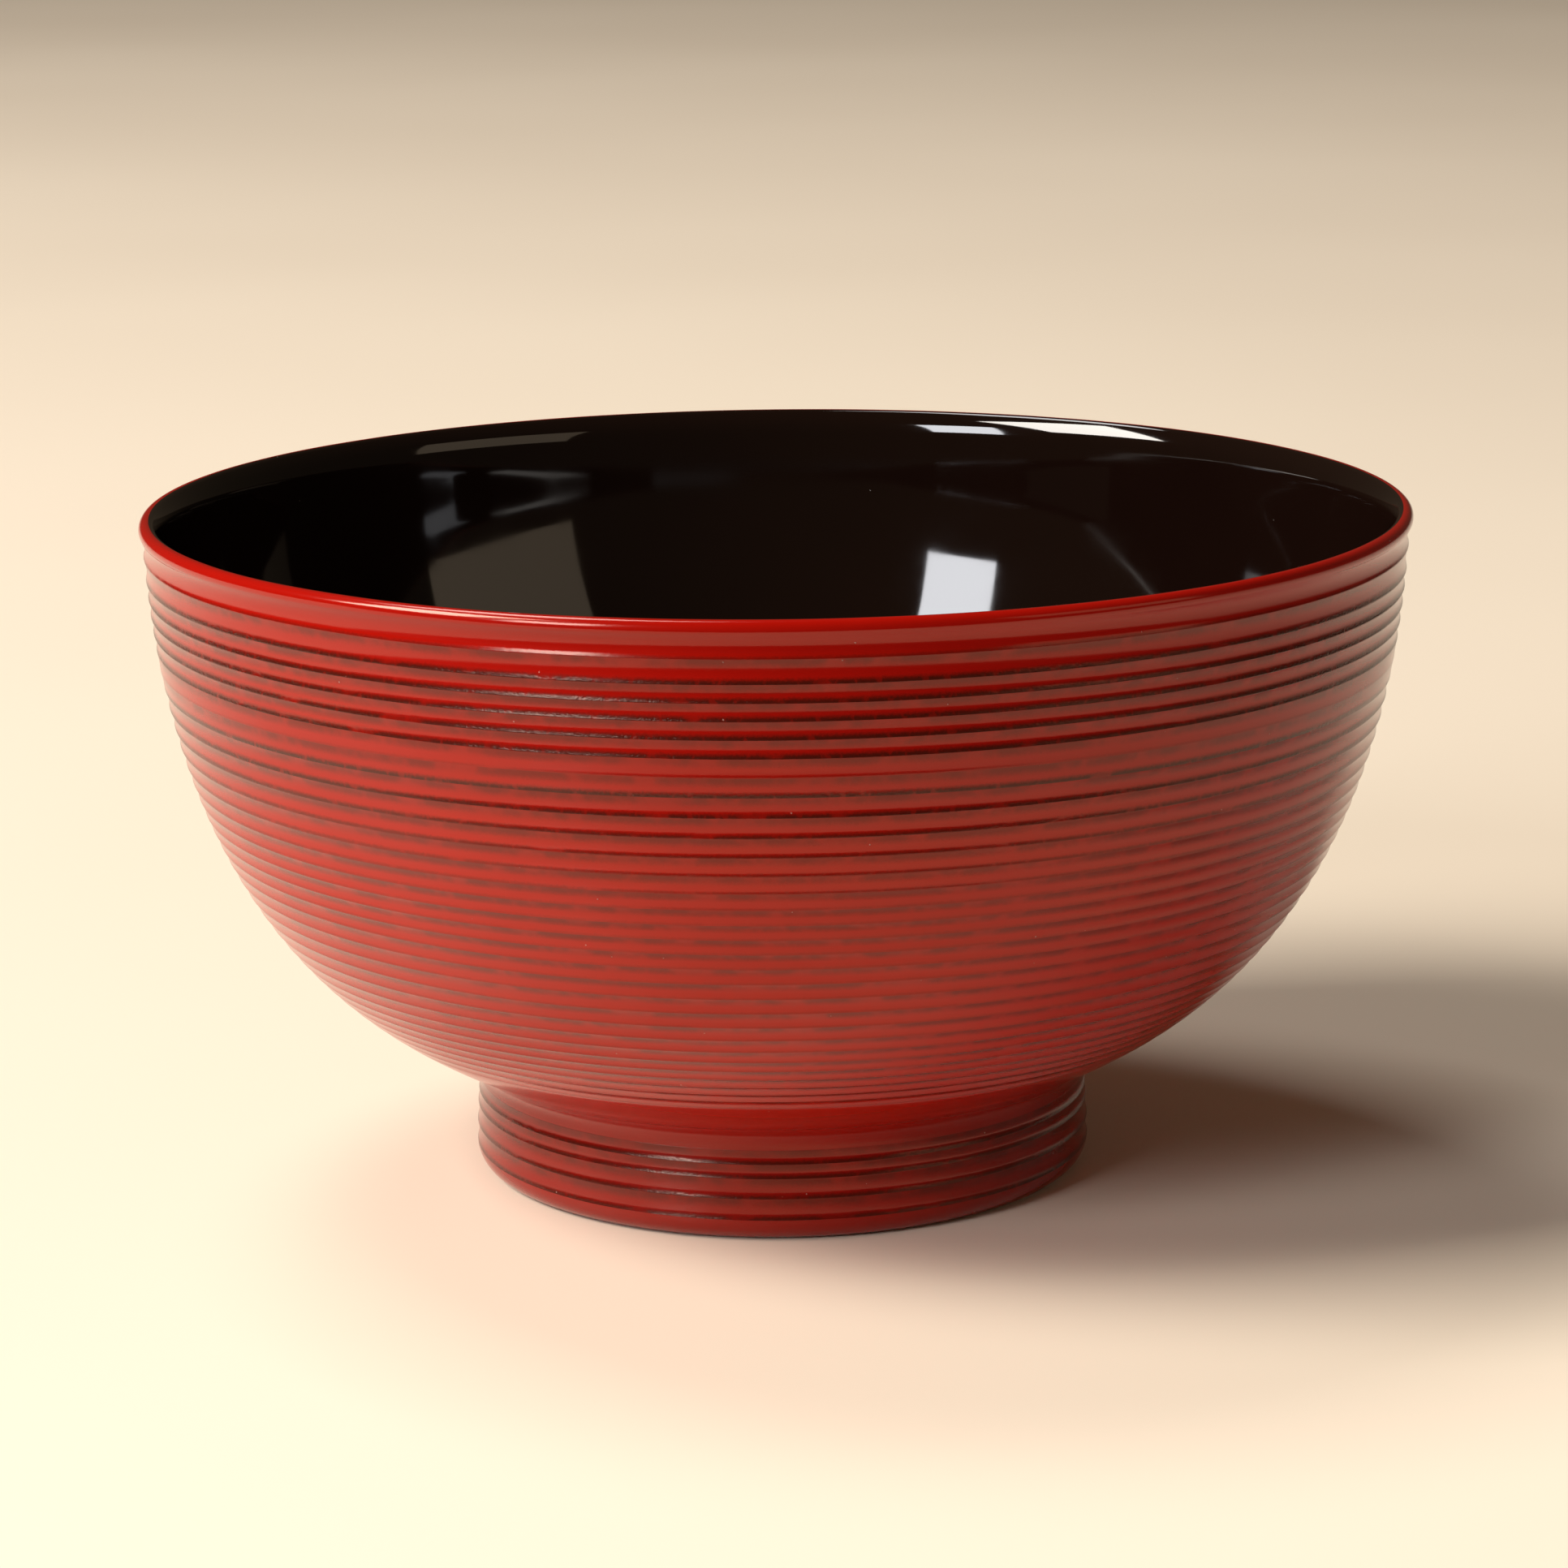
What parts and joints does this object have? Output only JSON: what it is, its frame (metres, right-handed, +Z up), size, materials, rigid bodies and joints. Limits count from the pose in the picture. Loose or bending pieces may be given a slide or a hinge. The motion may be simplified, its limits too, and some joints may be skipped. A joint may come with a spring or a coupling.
{
  "type": "rice bowl",
  "caption": "Turned wooden rice bowl with a foot ring, fine turned lines outside, vermilion lacquer outside and black lacquer inside.",
  "frame": {"origin": "centre of the ring that the bowl rests on, at table height", "axes": "+Z up along the axis that the bowl was turned about; X and Y are equivalent"},
  "size_m": [0.12, 0.12, 0.064],
  "materials": {
    "wood": "turned, unpolished",
    "linen": "open plain weave stiffened with lacquer",
    "ground": "matt, clay powder bound in lacquer",
    "black_middle_coat": "matt, rubbed black lacquer",
    "vermilion_lacquer": "glossy vermilion lacquer, worn dark along the turned crests",
    "black_lacquer": "mirror-glossy black lacquer"
  },
  "bodies": {
    "root": {"turned_wood": "wood", "rim_linen": "linen", "well_linen": "linen", "foot_linen": "linen", "outer_ground_coat": "ground", "inner_ground_coat": "ground", "outer_middle_coat": "black_middle_coat", "inner_middle_coat": "black_middle_coat", "outer_top_coat": "vermilion_lacquer", "rim_top_coat": "vermilion_lacquer", "inner_top_coat": "black_lacquer", "foot_edge_top_coat": "vermilion_lacquer", "recess_top_coat": "vermilion_lacquer"}
  },
  "joints": []
}
